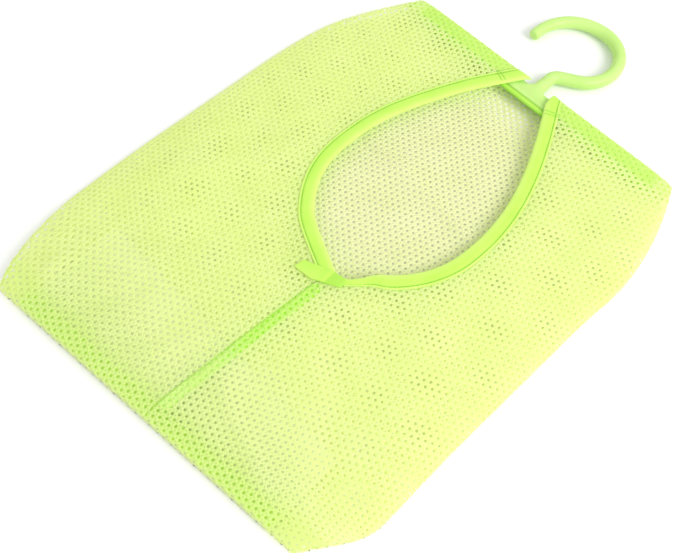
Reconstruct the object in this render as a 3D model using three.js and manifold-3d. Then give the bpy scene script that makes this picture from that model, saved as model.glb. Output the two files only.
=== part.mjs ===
// A net storage bag on a straight hanger with a swivel hook, lying on its back as photographed.
// Millimetres. +Z points up off the floor, +Y toward the hook, +X to the bag's right.
import * as THREE from "three";
import { mergeVertices } from "three/addons/utils/BufferGeometryUtils.js";
import Module from "manifold-3d";

const wasm = await Module();
wasm.setup();

// Fits
const clearance = 0.3; // between two pieces that touch
const clothThickness = 0.9; // one layer of net
const tapeThickness = 0.8; // one layer of binding tape
const seamThickness = 0.8; // pressed seam allowance
const seamSlack = 0.2; // spare height where several layers meet
const overcut = 1; // how far a cutting solid runs past what it cuts

// Bag outline, with depths measured down from the top edge
const topHalfWidth = 117.5;
const bodyHalfWidth = 148.8;
const shoulderDrop = 103; // depth at which the shoulders reach the full width
const bagLength = 359;
const cornerInset = 25; // how far the lower corners are cut in
const cornerRise = 63; // and over what height
const cornerTurn = 1.64; // exponent of that cut
const bottomSkew = 0.12; // the bottom edge lies out of square: fall to the left per mm
const sideDrift = 9; // the body of the bag lies this far to the left of the hook
const driftDepth = 130; // depth at which it has drifted that far
const driftEnd = 0.62; // share of the drift left at the bottom edge

// Bag loft, as heights off the floor
const bagHeight = 13.5; // crest of the front panels above the tucked base
const mouthHeight = 10; // the same beside the mouth, where the panels sag
const sleeveEase = 0.3; // slack of the net over the hanger
const sleeveDepth = 24;
const topRound = 4.5; // the top edge rolls over within this depth
const bottomRound = 32; // the bottom edge rolls under within this depth
const sideFullness = 3; // exponent of the rounded side section
const endFullness = 9; // the same at the top and bottom edges, where the section is boxy

// Mouth, measured at the cut edge of the front panels
const mouthTopHalf = 8.5;
const mouthHalf = 57.6;
const mouthWidestDepth = 131.8;
const mouthDepth = 215.4;
const mouthPoint = 2.62; // how late the lower half of the mouth turns in
const mouthLean = 14; // the point of the mouth lies this far to the right
const leanStart = 192; // depth at which the mouth begins to lean
const seamFoot = 5; // how far to the right the centre seam still lies at the bottom edge
const tapeWidth = 10.5;
const tailLength = 24.5;
const tailWidth = 8.5;
const tailFold = 1.2; // the tape end folded once and pressed
const strapWidth = 5;
const strapOverlap = 5; // the strap's ends run this far under the bindings

// Seams and tucked base
const seamAllowance = 10;
const centreAllowance = 6; // the centre seam is pressed open to both sides
const seamOffset = 2; // from a sewn edge to its allowance
const baseDepth = 67; // how far the folded base reaches in
const gussetHalfWidth = 106;
const gussetGap = 2.3; // between its two leaves at the bottom edge
const gussetRise = 3; // how far the leaves climb toward the fold

// Hanger
const hangerHalfLength = 108;
const barHeight = 11;
const barThickness = 6;
const barTopDepth = 4.6; // top of the bar below the top edge of the bag
const barRounding = 1.2;
const neckDiameter = 10;
const neckFlare = 15; // half width where the neck meets the bar
const neckFlareDepth = 9;
const collarHeight = 4.2; // top of the collar above the top edge of the bag

// Hook
const rodDiameter = 9.5;
const tipDiameter = 8.6;
const tipRounding = 1.8;
const loopRadius = 28;
const loopCentre = 47.6; // above the top edge of the bag
const loopStart = -38; // degrees round the loop where the neck of the hook meets it
const loopEnd = 197;
const flareStart = 96; // degrees at which the loop begins to open
const tipFlare = 9.7; // how far the tip stands outside the loop's circle
const stemLength = 7.5; // straight stem above the collar
const pinDiameter = 4.4;
const headDiameter = 5.9;
const headLength = 4.3;
const headLead = 3.1; // conical entry of the head
const headSlot = 0.9;
const pinReach = 4; // depth of the head's shoulder below the top edge of the bag

// Seats that follow from the sizes above
const seamGap = clearance + seamSlack / 2;
const hangerMid = clothThickness + clearance + neckDiameter / 2;
const barTop = hangerMid + barThickness / 2;
const tapeUnder = clothThickness + clearance + tapeThickness;
const sleeveHeight = barTop + clearance + tapeUnder + sleeveEase;
const topSeamHeight = hangerMid + clearance + clothThickness;
const sideHeight = clothThickness + clearance + seamSlack;
const backLeaf = clothThickness * 1.5 + clearance * 2 + seamThickness;
const frontLeaf = backLeaf + gussetGap;
const bottomSeamHeight = frontLeaf + clothThickness / 2 + clearance + seamSlack;
const hookTop = loopCentre + loopRadius + rodDiameter / 2;

const right = Math.PI / 2;
const clamp = THREE.MathUtils.clamp;
const smoothstep = THREE.MathUtils.smoothstep;
const lerp = THREE.MathUtils.lerp;
const even = (t) => t;
const settling = (t) => Math.sin(right * t);
const point = (x, y, z) => new THREE.Vector3(x, y, z);

// Values from one end up to, but without, the other.
function steps(from, to, count, ease = even) {
  return Array.from({ length: count }, (_, i) => lerp(from, to, ease(i / count)));
}

// A closed body from points and triangles, with its faces turned outward.
function body(points, faces) {
  const turned = new THREE.Vector3();
  const share = ([a, b, c]) => points[a].dot(turned.crossVectors(points[b], points[c]));
  const size = faces.reduce((sum, face) => sum + share(face), 0);
  const outward = size > 0 ? faces : faces.map(([a, b, c]) => [a, c, b]);
  const geometry = new THREE.BufferGeometry().setFromPoints(points);
  geometry.setIndex(outward.flat());
  return geometry;
}

const quad = (a, b, c, d) => [[a, b, c], [a, c, d]];

// A sheet between two grids of points that lie its thickness apart.
function sheet(outer, inner) {
  const rows = outer.length;
  const columns = outer[0].length;
  const at = (i, j, side) => (side * rows + i) * columns + j;
  const faces = [];
  for (let i = 0; i + 1 < rows; i++) {
    const last = columns - 1;
    for (let j = 0; j < last; j++) {
      faces.push(...quad(at(i, j, 0), at(i + 1, j, 0), at(i + 1, j + 1, 0), at(i, j + 1, 0)));
      faces.push(...quad(at(i, j, 1), at(i, j + 1, 1), at(i + 1, j + 1, 1), at(i + 1, j, 1)));
    }
    faces.push(...quad(at(i, 0, 0), at(i, 0, 1), at(i + 1, 0, 1), at(i + 1, 0, 0)));
    faces.push(...quad(at(i, last, 0), at(i + 1, last, 0), at(i + 1, last, 1), at(i, last, 1)));
  }
  for (let j = 0; j + 1 < columns; j++) {
    const last = rows - 1;
    faces.push(...quad(at(0, j, 0), at(0, j + 1, 0), at(0, j + 1, 1), at(0, j, 1)));
    faces.push(...quad(at(last, j, 0), at(last, j, 1), at(last, j + 1, 1), at(last, j + 1, 0)));
  }
  return body([...outer.flat(), ...inner.flat()], faces);
}

// A body through closed rings of points, with flat ends.
function loft(rings) {
  const count = rings[0].length;
  const end = (rings.length - 1) * count;
  const faces = [];
  for (let i = 0; i + 1 < rings.length; i++) {
    for (let k = 0; k < count; k++) {
      const next = (k + 1) % count;
      faces.push(...quad(i * count + k, i * count + next, (i + 1) * count + next, (i + 1) * count + k));
    }
  }
  for (let k = 1; k + 1 < count; k++) {
    faces.push([0, k + 1, k]);
    faces.push([end, end + k, end + k + 1]);
  }
  return body(rings.flat(), faces);
}

// Solids for cutting and joining.
function solid(geometry) {
  const bare = new THREE.BufferGeometry();
  bare.setAttribute("position", geometry.getAttribute("position"));
  bare.setIndex(geometry.getIndex());
  const merged = mergeVertices(bare, 1e-4);
  const vertProperties = merged.getAttribute("position").array;
  const triVerts = Uint32Array.from(merged.getIndex().array);
  return new wasm.Manifold(new wasm.Mesh({ numProp: 3, vertProperties, triVerts }));
}

function geometryOf(cut) {
  const mesh = cut.getMesh();
  const geometry = new THREE.BufferGeometry();
  geometry.setAttribute("position", new THREE.BufferAttribute(mesh.vertProperties, 3));
  geometry.setIndex(new THREE.BufferAttribute(mesh.triVerts, 1));
  return geometry;
}

function block(low, high) {
  const size = high.clone().sub(low);
  const middle = low.clone().add(high).multiplyScalar(0.5);
  return solid(new THREE.BoxGeometry(size.x, size.y, size.z).translate(middle.x, middle.y, middle.z));
}

// Half the width of the bag at a depth.
function halfWidth(depth) {
  const shoulder = settling(clamp(depth / shoulderDrop, 0, 1));
  const corner = clamp((depth - bagLength + cornerRise) / cornerRise, 0, 1);
  return lerp(topHalfWidth, bodyHalfWidth, shoulder) - cornerInset * corner ** cornerTurn;
}

// How far the middle of the outline lies to the left of the hook at a depth.
function drift(depth) {
  const kept = lerp(1, driftEnd, smoothstep(depth, bagLength - 2 * baseDepth, bagLength));
  return sideDrift * smoothstep(depth, 0, driftDepth) * kept;
}

// X of the middle of the mouth and then of the centre seam at a depth.
function seamLine(depth) {
  const below = clamp((depth - mouthDepth) / (bagLength - mouthDepth), 0, 1);
  return lerp(mouthLean * smoothstep(depth, leanStart, mouthDepth), seamFoot, below);
}

// Y of a place on the bag; the skew grows from the fold of the base to the bottom edge.
function skewed(x, depth) {
  return bottomSkew * x * smoothstep(depth, bagLength - baseDepth, bagLength) - depth;
}

// How boxy the cross section is, from 0 along the body to 1 at the two ends.
function boxiness(depth) {
  const nearTop = 1 - smoothstep(depth, sleeveDepth, shoulderDrop);
  const nearBottom = smoothstep(depth, bagLength - baseDepth, bagLength);
  return Math.max(nearTop, nearBottom);
}

// Share of the crest height left at a place across the bag.
function sideShare(x, depth) {
  const power = lerp(sideFullness, endFullness, boxiness(depth));
  const out = Math.min(Math.abs(x + drift(depth)) / halfWidth(depth), 1);
  return (1 - out ** power) ** (1 / power);
}

function crest(depth) {
  const upper = lerp(sleeveHeight, mouthHeight, smoothstep(depth, sleeveDepth, shoulderDrop));
  const body = lerp(upper, bagHeight, smoothstep(depth, mouthWidestDepth, bagLength - baseDepth));
  const towardTop = clamp(1 - depth / topRound, 0, 1);
  const towardBottom = clamp((depth - bagLength + bottomRound) / bottomRound, 0, 1);
  const rolled = lerp(topSeamHeight, body, Math.sqrt(1 - towardTop ** 2));
  return lerp(bottomSeamHeight, rolled, Math.sqrt(1 - towardBottom ** 2));
}

function onFront(x, depth) {
  return point(x, skewed(x, depth), lerp(sideHeight, crest(depth), sideShare(x, depth)));
}

// Half the opening between the front panels at a depth: the mouth, then the centre seam.
function cutEdge(depth) {
  const upper = lerp(mouthTopHalf, mouthHalf, settling(clamp(depth / mouthWidestDepth, 0, 1)));
  const below = clamp((depth - mouthWidestDepth) / (mouthDepth - mouthWidestDepth), 0, 1);
  return Math.max(upper * (1 - below ** mouthPoint), seamGap / 2);
}

const mouthTip = 24; // the last part of the mouth, with closer rows
const edgeDepths = [
  ...steps(0, topRound, 4, (t) => 1 - Math.cos(right * t)),
  ...steps(topRound, sleeveDepth, 3),
  ...steps(sleeveDepth, mouthDepth - mouthTip, 14),
  ...steps(mouthDepth - mouthTip, mouthDepth, 5),
];
const panelDepths = [
  ...edgeDepths,
  ...steps(mouthDepth, bagLength - bottomRound, 6),
  ...steps(bagLength - bottomRound, bagLength, 9, settling),
  bagLength,
];

// Outward normals of a grid of points whose rows run down the bag.
function normals(grid, side) {
  const rows = grid.length - 1;
  const columns = grid[0].length - 1;
  return grid.map((row, i) => row.map((_, j) => {
    const down = grid[Math.min(i + 1, rows)][j].clone().sub(grid[Math.max(i - 1, 0)][j]);
    const across = row[Math.min(j + 1, columns)].clone().sub(row[Math.max(j - 1, 0)]);
    return down.cross(across).multiplyScalar(side).normalize();
  }));
}

// A front panel from its cut edge round to the back panel; side is 1 for the right one.
function frontPanel(side) {
  const columns = 13;
  const grid = panelDepths.map((depth) => {
    const inner = seamLine(depth) + side * cutEdge(depth);
    const outer = side * halfWidth(depth) - drift(depth);
    const shares = [...steps(0, 1, columns, (t) => 1 - (1 - t) ** 3), 1];
    return shares.map((share) => onFront(lerp(inner, outer, share), depth));
  });
  const out = normals(grid, side);
  const inside = (p, normal) => p.clone().addScaledVector(normal, -clothThickness);
  const under = grid.map((row, i) => row.map((p, j) => inside(p, out[i][j])));
  return sheet(grid, under);
}

// The back panel lies flat, and climbs to the hanger and the top seam beside the neck.
function backPanel() {
  const underBar = barTop - barThickness - clearance - clothThickness;
  const atSeam = topSeamHeight - clearance - clothThickness;
  const columns = 14;
  const grid = panelDepths.map((depth) => {
    const toBar = underBar * (1 - smoothstep(depth, barTopDepth + barHeight, sleeveDepth * 1.6));
    const toSeam = (atSeam - underBar) * clamp(1 - depth / (barTopDepth - seamThickness), 0, 1) ** 2;
    return [...steps(-1, 1, columns), 1].map((share) => {
      const x = share * halfWidth(depth) - drift(depth);
      const besideNeck = smoothstep(Math.abs(x), neckDiameter, neckDiameter * 3);
      const rise = (toBar + toSeam) * besideNeck * sideShare(x, depth) ** 2;
      return point(x, skewed(x, depth), rise);
    });
  });
  const over = grid.map((row) => row.map((p) => p.clone().setZ(p.z + clothThickness)));
  return sheet(over, grid);
}

// The base folded in half and tucked in: front leaf, fold, back leaf.
function baseGusset() {
  const bend = gussetGap / 2;
  const along = [...steps(clearance, baseDepth - bend, 8), baseDepth - bend];
  const climb = (inward) => gussetRise * smoothstep(inward, 0, baseDepth);
  const turns = steps(0, Math.PI, 6).slice(1);
  const middle = bend + backLeaf + climb(baseDepth - bend);
  const path = [
    ...along.map((inward) => [inward, frontLeaf + climb(inward)]),
    ...turns.map((a) => [baseDepth - bend + bend * Math.sin(a), middle + bend * Math.cos(a)]),
    ...along.toReversed().map((inward) => [inward, backLeaf + climb(inward)]),
  ];
  const spine = path.map(([inward, z]) => point(0, inward, z));
  const offset = spine.map((p, k) => {
    const run = spine[Math.min(k + 1, spine.length - 1)].clone().sub(spine[Math.max(k - 1, 0)]);
    return point(0, -run.z, run.y).setLength(clothThickness / 2);
  });
  const stations = [...steps(-gussetHalfWidth, gussetHalfWidth, 14), gussetHalfWidth];
  const layer = (sign) => stations.map((x) => spine.map((p, k) => {
    const depth = bagLength - p.y - sign * offset[k].y;
    const across = x - drift(depth);
    return point(across, skewed(across, depth), p.z + sign * offset[k].z);
  }));
  return sheet(layer(1), layer(-1));
}

// A place over the front panels' outer face, along the normal there.
function overFront(x, depth, height) {
  const step = 0.4;
  const place = onFront(x, depth);
  const across = onFront(x + step, depth).sub(onFront(x - step, depth));
  const down = onFront(x, depth + step).sub(onFront(x, Math.max(depth - step, 0)));
  return place.addScaledVector(down.cross(across).normalize(), height);
}

// A binding tape folded over the cut edge of a front panel, mitred on the centre seam.
function binding(side) {
  const slope = (mouthPoint * mouthHalf) / (mouthDepth - mouthWidestDepth);
  const tip = side * mouthLean;
  const beyond = steps(0, tapeWidth * 1.6, 4).map((x) => [tip + seamGap / 2 - x, mouthDepth + x / slope]);
  const edge = edgeDepths.slice(1).map((depth) => [side * seamLine(depth) + cutEdge(depth), depth]);
  const path = [...edge, ...beyond];
  const fold = clearance + tapeThickness;
  const leaf = tapeWidth - fold;
  const bends = steps(0, Math.PI, 5).slice(1);
  // Half of the folded section: distance out from the cut edge and height over the panel's middle.
  const section = (reach) => {
    const half = clothThickness / 2 + reach;
    const bend = bends.map((a) => [-reach * Math.sin(a), -half * Math.cos(a)]);
    return [[leaf, -half], [leaf / 2, -half], [0, -half], ...bend, [0, half], [leaf / 2, half], [leaf, half]];
  };
  const layer = (reach) => path.map(([x, depth], i) => {
    const [xa, da] = path[Math.max(i - 1, 0)];
    const [xb, db] = path[Math.min(i + 1, path.length - 1)];
    const square = new THREE.Vector2(db - da, xa - xb).normalize();
    // At the top the tape ends level with the seam, so its section turns level there.
    const out = new THREE.Vector2(1, 0).lerp(square, smoothstep(depth, topRound, sleeveDepth)).normalize();
    out.multiplyScalar(1 / out.dot(square));
    return section(reach).map(([o, h]) => {
      return overFront(side * (x + o * out.x), depth + o * out.y, h - clothThickness / 2);
    });
  });
  const tape = solid(sheet(layer(fold), layer(clearance)));
  const far = bagLength;
  const inner = mouthLean + (side * seamGap) / 2;
  const low = point(side > 0 ? inner : -far, -far, -far);
  const high = point(side > 0 ? far : inner, far, far);
  return geometryOf(tape.intersect(block(low, high)));
}

// A strip that follows the seam line at a height over (or under) the front panels' outer face.
function strip(offsets, depths, height, thickness) {
  const layer = (lift) => depths.map((depth) => offsets.map((offset) => {
    const place = onFront(seamLine(depth) + offset, depth);
    return place.setZ(place.z + lift);
  }));
  return sheet(layer(height + thickness), layer(height));
}

// The end of the right binding, folded across the left one.
function bindingTail() {
  const over = 2 * clearance + tapeThickness;
  const start = mouthDepth + seamAllowance / 2;
  const depths = [...steps(start, start + tailWidth, 3), start + tailWidth];
  return strip([...steps(-tailLength, 0, 7), 0], depths, over, tailFold);
}

// Both allowances of the centre seam, pressed open inside the bag.
function centreSeam() {
  const top = mouthDepth + tapeWidth * 1.6;
  const end = bagLength - seamAllowance - seamOffset;
  const offsets = [-centreAllowance, 0, centreAllowance];
  const under = clothThickness + clearance + seamThickness;
  return strip(offsets, [...steps(top, end, 12), end], -under, seamThickness);
}

// A bottom seam allowance lying inside along the bottom edge at a height off the floor.
function baseSeam(height) {
  const xs = [...steps(-gussetHalfWidth, gussetHalfWidth, 12), gussetHalfWidth];
  const rows = [seamOffset, seamOffset + seamAllowance / 2, seamOffset + seamAllowance];
  const layer = (lift) => xs.map((x) => rows.map((inward) => {
    const depth = bagLength - inward;
    const across = x - drift(depth);
    return point(across, skewed(across, depth), height(inward) + lift);
  }));
  return sheet(layer(seamThickness), layer(0));
}

function frontBaseSeam() {
  const climb = (inward) => gussetRise * smoothstep(inward, 0, baseDepth);
  return baseSeam((inward) => frontLeaf + clothThickness / 2 + clearance * 1.5 + climb(inward));
}

function backBaseSeam() {
  return baseSeam(() => clothThickness + clearance);
}

// The strap that joins the two bindings under the bar and keeps the hanger up.
function hangerStrap() {
  const from = barTopDepth + barHeight + clearance * 2;
  const reach = cutEdge(from) + strapOverlap;
  const top = sleeveHeight - tapeUnder - clearance;
  const xs = [-reach, 0, reach];
  const layer = (z) => xs.map((x) => [from, from + strapWidth].map((depth) => point(x, -depth, z)));
  return sheet(layer(top), layer(top - tapeThickness));
}

// A round or oval section across the Y axis of the hook and its neck.
function section(y, radiusX, radiusZ, sides = 32) {
  const around = steps(0, 2 * Math.PI, sides);
  return around.map((a) => point(radiusX * Math.cos(a), y, hangerMid + radiusZ * Math.sin(a)));
}

// The hanger: a straight bar with a flared neck, bored for the hook's pin.
function hanger() {
  const low = -barTopDepth - barHeight;
  const radius = barHeight / 2 - barRounding;
  const half = hangerHalfLength - barRounding;
  const outline = new THREE.Shape();
  outline.absarc(half - radius, low + barHeight / 2, radius, -right, right, false);
  outline.absarc(radius - half, low + barHeight / 2, radius, right, 3 * right, false);
  const bar = new THREE.ExtrudeGeometry(outline, {
    depth: barThickness - 2 * barRounding,
    bevelThickness: barRounding,
    bevelSize: barRounding,
    bevelSegments: 3,
    curveSegments: 10,
  });
  bar.translate(0, 0, hangerMid - barThickness / 2 + barRounding);
  const opening = (y) => 1 - Math.cos(right * clamp(-y / neckFlareDepth, 0, 1));
  const flared = (y) => lerp(neckDiameter / 2, neckFlare, opening(y));
  const levels = [collarHeight, ...steps(0, -neckFlareDepth, 7), -neckFlareDepth, 1 - neckFlareDepth * 1.5];
  const sunk = (y) => (y < -neckFlareDepth ? barThickness / 2 - clearance : neckDiameter / 2);
  const neck = solid(loft(levels.map((y) => section(y, flared(y), sunk(y)))));
  const bore = pinDiameter / 2 + clearance;
  const room = headDiameter / 2 + clearance;
  const shoulder = clearance - pinReach;
  const floor = -pinReach - headLength - clearance;
  const hollow = solid(loft([
    section(collarHeight + overcut, bore, bore),
    section(shoulder, bore, bore),
    section(shoulder, room, room),
    section(floor, room, room),
  ]));
  return geometryOf(solid(bar).add(neck).subtract(hollow));
}

// The hook: snap head, pin, stem and open loop, swept as one rod in the plane of the bag.
function hook() {
  const sides = 24;
  const foot = collarHeight + clearance;
  const stemTop = foot + stemLength;
  const turn = THREE.MathUtils.degToRad;
  const onLoop = (degrees) => {
    const opening = clamp((degrees - flareStart) / (loopEnd - flareStart), 0, 1);
    const radius = loopRadius + tipFlare * opening ** 1.4;
    return point(radius * Math.cos(turn(degrees)), loopCentre + radius * Math.sin(turn(degrees)), hangerMid);
  };
  const start = onLoop(loopStart);
  const heading = point(-Math.sin(turn(loopStart)), Math.cos(turn(loopStart)), 0);
  const elbow = new THREE.CubicBezierCurve3(
    point(0, stemTop, hangerMid),
    point(0, stemTop + rodDiameter * 0.75, hangerMid),
    start.clone().addScaledVector(heading, -rodDiameter * 1.2),
    start,
  );
  const degrees = [...steps(loopStart, 90, 16).slice(1), ...steps(90, loopEnd, 15), loopEnd];
  const path = [...elbow.getPoints(10), ...degrees.map(onLoop)];
  const last = path.length - 1;
  const thick = (k) => lerp(rodDiameter, tipDiameter, smoothstep(k, last * 0.6, last)) / 2;
  const up = point(0, 0, 1);
  const ring = (centre, ahead, radius) => {
    const aside = ahead.clone().cross(up);
    const around = steps(0, 2 * Math.PI, sides);
    return around.map((a) => centre.clone()
      .addScaledVector(aside, radius * Math.cos(a))
      .addScaledVector(up, radius * Math.sin(a)));
  };
  const ahead = path.map((_, k) => {
    return path[Math.min(k + 1, last)].clone().sub(path[Math.max(k - 1, 0)]).normalize();
  });
  const rod = path.map((centre, k) => ring(centre, ahead[k], thick(k)));
  const end = steps(0, 1, 3).slice(1).concat(1).map((t) => {
    const centre = path[last].clone().addScaledVector(ahead[last], tipRounding * settling(t));
    return ring(centre, ahead[last], thick(last) - tipRounding * (1 - Math.cos(right * t)));
  });
  const axial = (y, diameter) => section(y, diameter / 2, diameter / 2, sides);
  const head = -pinReach - headLength;
  const pin = [
    axial(head, headDiameter * 0.62),
    axial(head + headLead, headDiameter),
    axial(-pinReach, headDiameter),
    axial(-pinReach, pinDiameter),
    axial(foot, pinDiameter),
    axial(foot, rodDiameter - 2 * clearance),
    axial(foot + clearance, rodDiameter),
  ];
  const whole = solid(loft([...pin, ...rod, ...end]));
  const slot = block(
    point(-headSlot / 2, head - overcut, hangerMid - headDiameter),
    point(headSlot / 2, clearance - pinReach / 2, hangerMid + headDiameter),
  );
  return geometryOf(whole.subtract(slot));
}

const netColour = { color: 0xe4f486, roughness: 0.85, metalness: 0 };
const tapeColour = { color: 0xc4ee5a, roughness: 0.8, metalness: 0 };
const plasticColour = { color: 0xc2f08c, roughness: 0.35, metalness: 0 };

const bag = new THREE.Group();
bag.name = "bath_toy_organizer";
// The frame's origin is under the middle of the whole object.
const lowest = skewed(-halfWidth(bagLength) - drift(bagLength), bagLength);
const leftmost = Math.min(...panelDepths.map((depth) => -halfWidth(depth) - drift(depth)));
const rightmost = Math.max(...panelDepths.map((depth) => halfWidth(depth) - drift(depth)));
bag.position.x = -(leftmost + rightmost) / 2;
bag.position.y = -(hookTop + lowest) / 2;

function place(name, geometry, colour) {
  const mesh = new THREE.Mesh(geometry, new THREE.MeshStandardMaterial(colour));
  mesh.name = name;
  bag.add(mesh);
}

place("back_panel", backPanel(), netColour);
place("front_panel_left", frontPanel(-1), netColour);
place("front_panel_right", frontPanel(1), netColour);
place("base_gusset", baseGusset(), netColour);
place("centre_seam", centreSeam(), netColour);
place("front_base_seam", frontBaseSeam(), netColour);
place("back_base_seam", backBaseSeam(), netColour);
place("mouth_binding_left", binding(-1), tapeColour);
place("mouth_binding_right", binding(1), tapeColour);
place("binding_tail", bindingTail(), tapeColour);
place("hanger_strap", hangerStrap(), tapeColour);
place("hanger", hanger(), plasticColour);
place("swivel_hook", hook(), plasticColour);

export default bag;
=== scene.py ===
import math

import bmesh
import bpy
import numpy as np
from mathutils import Matrix, Vector


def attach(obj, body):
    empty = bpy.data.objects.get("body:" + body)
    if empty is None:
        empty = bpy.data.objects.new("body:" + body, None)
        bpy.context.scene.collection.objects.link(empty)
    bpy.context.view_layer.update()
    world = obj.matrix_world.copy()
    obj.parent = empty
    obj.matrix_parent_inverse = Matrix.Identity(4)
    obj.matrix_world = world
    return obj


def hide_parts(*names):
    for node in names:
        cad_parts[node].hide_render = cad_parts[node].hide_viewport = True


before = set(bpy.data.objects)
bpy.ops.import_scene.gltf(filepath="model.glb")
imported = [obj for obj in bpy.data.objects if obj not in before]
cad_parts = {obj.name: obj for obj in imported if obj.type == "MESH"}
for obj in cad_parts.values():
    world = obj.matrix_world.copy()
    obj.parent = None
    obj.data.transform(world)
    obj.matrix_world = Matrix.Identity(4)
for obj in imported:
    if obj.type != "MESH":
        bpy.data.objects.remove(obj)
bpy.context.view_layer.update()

# Sizes are in millimetres down to the point where a mesh is filled, as in the part's source.
MM = 0.001
HOOK_AXIS, TOP_EDGE = 8.1871, 147.0878  # where the hook's axis and the bag's top edge lie in the frame

# Outline of the bag, with X measured from the hook's axis and depths down from the top edge
TOP_HALF, BODY_HALF, SHOULDER_DROP = 117.5, 148.8, 103
LENGTH, BOTTOM_SKEW = 359, 0.12
CORNER_INSET, CORNER_RISE, CORNER_TURN = 25, 63, 1.64
SIDE_DRIFT, DRIFT_DEPTH, DRIFT_END = 9, 130, 0.62

# Loft of the bag
CREST, MOUTH_HEIGHT, SLEEVE_HEIGHT, SLEEVE_DEPTH = 13.5, 10, 11.8, 24
TOP_ROUND, TOP_SEAM, BOTTOM_ROUND, BOTTOM_SEAM = 4.5, 7.4, 32, 6.0
SIDE_FULL, END_FULL, SIDE_HEIGHT = 3, 9, 1.4

# Tucked base and seams
BASE_DEPTH, BASE_HALF, BASE_GAP, BASE_RISE = 67, 106, 2.3, 3
BACK_LEAF = 2.75
FRONT_LEAF = BACK_LEAF + BASE_GAP
SEAM_HALF, SEAM_OFFSET, SEAM_ALLOWANCE, CENTRE_ALLOWANCE = 0.2, 2, 10, 6
SEAM_WIDE = 7  # what shows of the centre seam's allowance, turned to the right of its sewn line
SEAM_TURN, SEAM_RETURN = 11, 0.55  # depth in which the sewn line goes aside, share of that lost at the foot

# Mouth and its binding
MOUTH_TOP, MOUTH_HALF, MOUTH_WIDEST, MOUTH_DEPTH, MOUTH_POINT = 8.5, 57.6, 131.8, 215.4, 2.62
MOUTH_LEAN, LEAN_START, SEAM_FOOT = 14, 192, 5
TAPE_WIDTH, TAPE_THICK, CLOTH, CLEAR = 10.5, 0.8, 0.9, 0.3
STRAP_TOP, STRAP_WIDTH, STRAP_OVERLAP = 16.2, 5, 5

# Hanger
BAR_TOP, BAR_HEIGHT, BAR_HALF, BAR_THICK, NECK = 4.6, 11, 108, 6, 10
HANGER_MID = 6.2

# Net: staggered holes in columns down the bag
HOLE_PITCH, COLUMN_PITCH = 4.55, 3.7
STRAND, SEAM_STRAND, HEM_STRAND, YARN = 2.4, 2.8, 2.5, 0.62
BACK_TURN = math.radians(8)  # the back panel's net lies askew to the front's
LEFT_SHIFT, BASE_SHIFT = (1.1, 0.9), (0.7, 1.3)  # their holes lie out of step with the right panel's
WELD, MERGE = 0.02, 0.01  # corners nearer than this become one, within a face of the net and between its two


def ease(value, start, end):
    t = np.clip((value - start) / (end - start), 0, 1)
    return t * t * (3 - 2 * t)


def mix(a, b, t):
    return a + (b - a) * t


def half_width(depth):
    shoulder = np.sin(np.clip(depth / SHOULDER_DROP, 0, 1) * math.pi / 2)
    corner = np.clip((depth - LENGTH + CORNER_RISE) / CORNER_RISE, 0, 1)
    return mix(TOP_HALF, BODY_HALF, shoulder) - CORNER_INSET * corner**CORNER_TURN


def drift(depth):
    """How far the middle of the outline lies to the left of the hook."""
    kept = mix(1, DRIFT_END, ease(depth, LENGTH - 2 * BASE_DEPTH, LENGTH))
    return SIDE_DRIFT * ease(depth, 0, DRIFT_DEPTH) * kept


def seam_line(depth):
    """X of the middle of the mouth and then of the sewn line, which lies at the left of its allowance."""
    below = np.clip((depth - MOUTH_DEPTH) / (LENGTH - MOUTH_DEPTH), 0, 1)
    aside = CENTRE_ALLOWANCE * ease(depth, MOUTH_DEPTH, MOUTH_DEPTH + SEAM_TURN) * (1 - SEAM_RETURN * below)
    return mix(MOUTH_LEAN * ease(depth, LEAN_START, MOUTH_DEPTH), SEAM_FOOT, below) - aside


def mouth_edge(depth):
    """Half the opening between the front panels: the mouth, then the centre seam."""
    upper = mix(MOUTH_TOP, MOUTH_HALF, np.sin(np.clip(depth / MOUTH_WIDEST, 0, 1) * math.pi / 2))
    below = np.clip((depth - MOUTH_WIDEST) / (MOUTH_DEPTH - MOUTH_WIDEST), 0, 1)
    return np.maximum(upper * (1 - below**MOUTH_POINT), SEAM_HALF)


def placed(x, depth, height):
    """A place in the frame; the bag's bottom edge lies out of square."""
    y = TOP_EDGE - depth + BOTTOM_SKEW * x * ease(depth, LENGTH - BASE_DEPTH, LENGTH)
    return np.stack(np.broadcast_arrays(x + HOOK_AXIS, y, height), -1)


def side_share(x, depth):
    """Share of the crest height left at a place across the bag."""
    top = 1 - ease(depth, SLEEVE_DEPTH, SHOULDER_DROP)
    bottom = ease(depth, LENGTH - BASE_DEPTH, LENGTH)
    power = mix(SIDE_FULL, END_FULL, np.maximum(top, bottom))
    out = np.minimum(np.abs(x + drift(depth)) / half_width(depth), 1)
    return (1 - out**power) ** (1 / power)


def crest(depth):
    upper = mix(SLEEVE_HEIGHT, MOUTH_HEIGHT, ease(depth, SLEEVE_DEPTH, SHOULDER_DROP))
    body = mix(upper, CREST, ease(depth, MOUTH_WIDEST, LENGTH - BASE_DEPTH))
    top = np.clip(1 - depth / TOP_ROUND, 0, 1)
    bottom = np.clip((depth - LENGTH + BOTTOM_ROUND) / BOTTOM_ROUND, 0, 1)
    rolled = mix(TOP_SEAM, body, np.sqrt(1 - top**2))
    return mix(BOTTOM_SEAM, rolled, np.sqrt(1 - bottom**2))


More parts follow.
